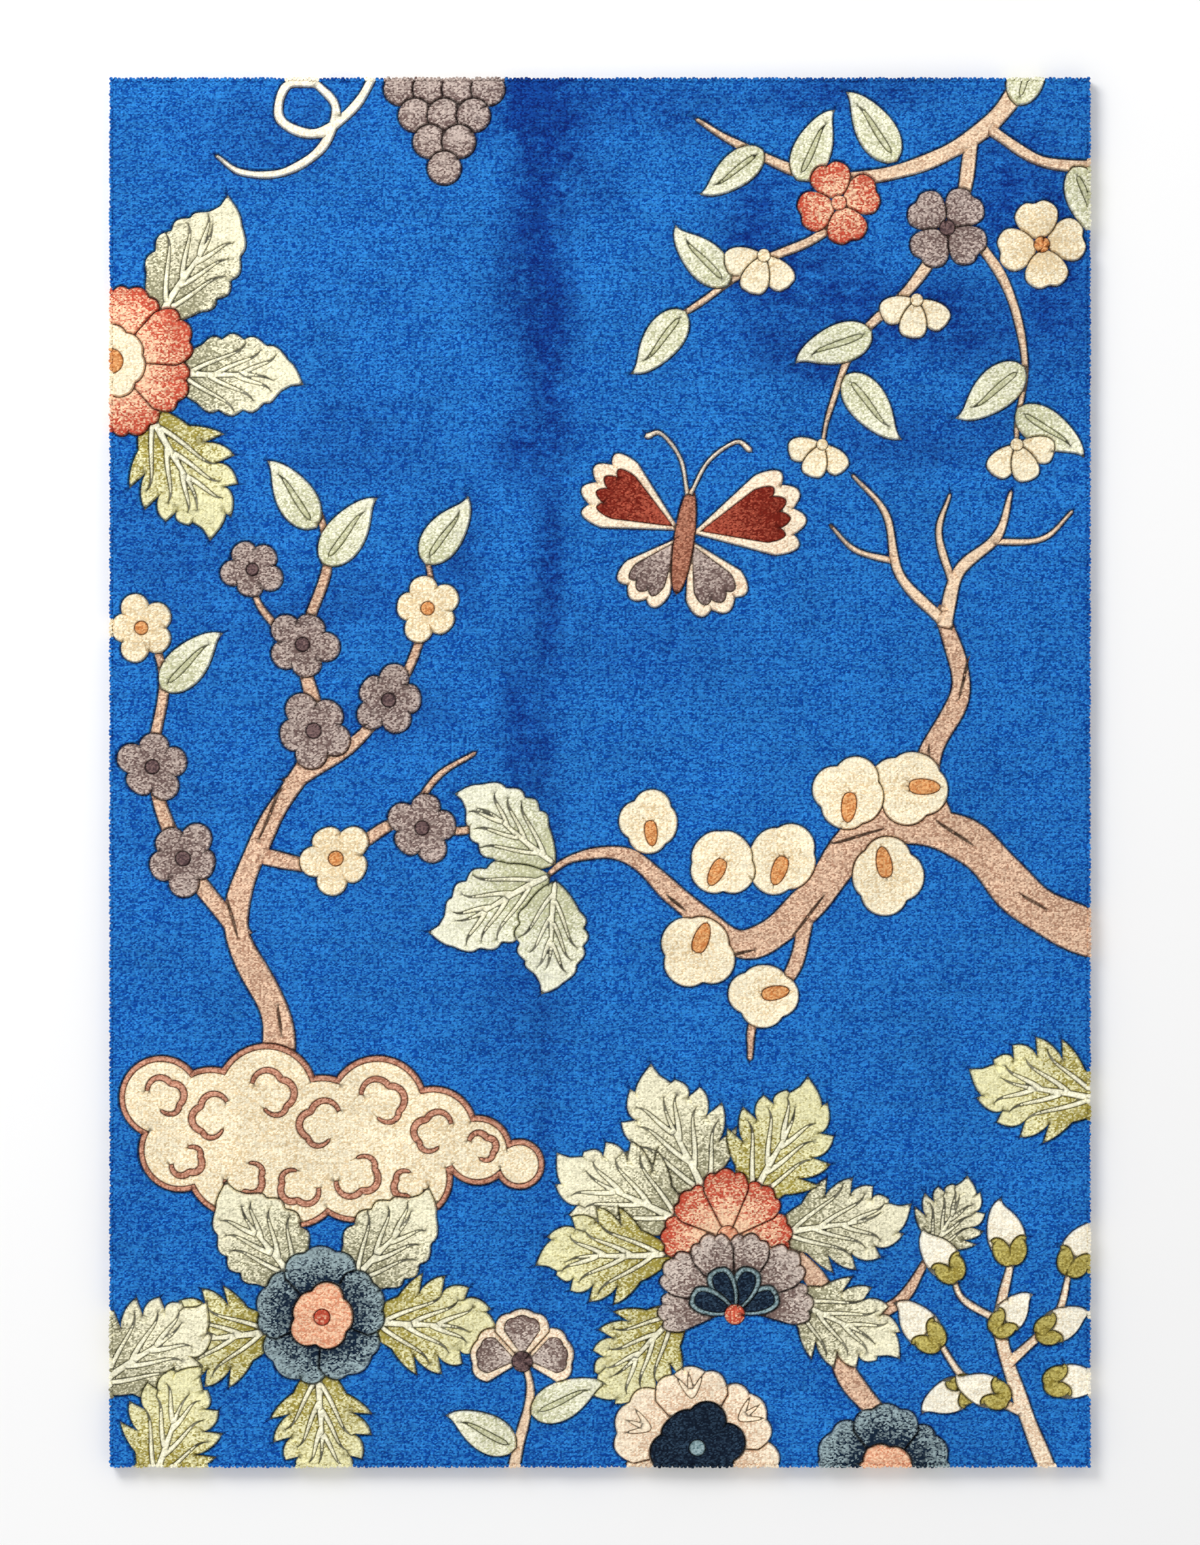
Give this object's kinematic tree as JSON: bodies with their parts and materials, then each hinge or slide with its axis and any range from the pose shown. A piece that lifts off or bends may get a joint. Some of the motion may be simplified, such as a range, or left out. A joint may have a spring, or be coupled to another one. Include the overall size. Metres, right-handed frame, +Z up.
{
  "type": "chinese art deco rug",
  "caption": "Hand-knotted pile rug, a cut length lying flat, with carved flowering boughs, cloud bank and butterfly on a royal blue field.",
  "frame": {"origin": "middle of the rug's underside, on the floor", "axes": "+X across the rug, +Y along it towards the hanging spray, +Z up out of the pile"},
  "size_m": [0.706, 1, 0.012],
  "materials": {
    "pile": "silky cut pile in royal blue with cream, tan, sage, coral, grey and slate motifs, their edges shorn into grooves"
  },
  "bodies": {
    "root": {"rug": "pile"}
  },
  "joints": []
}
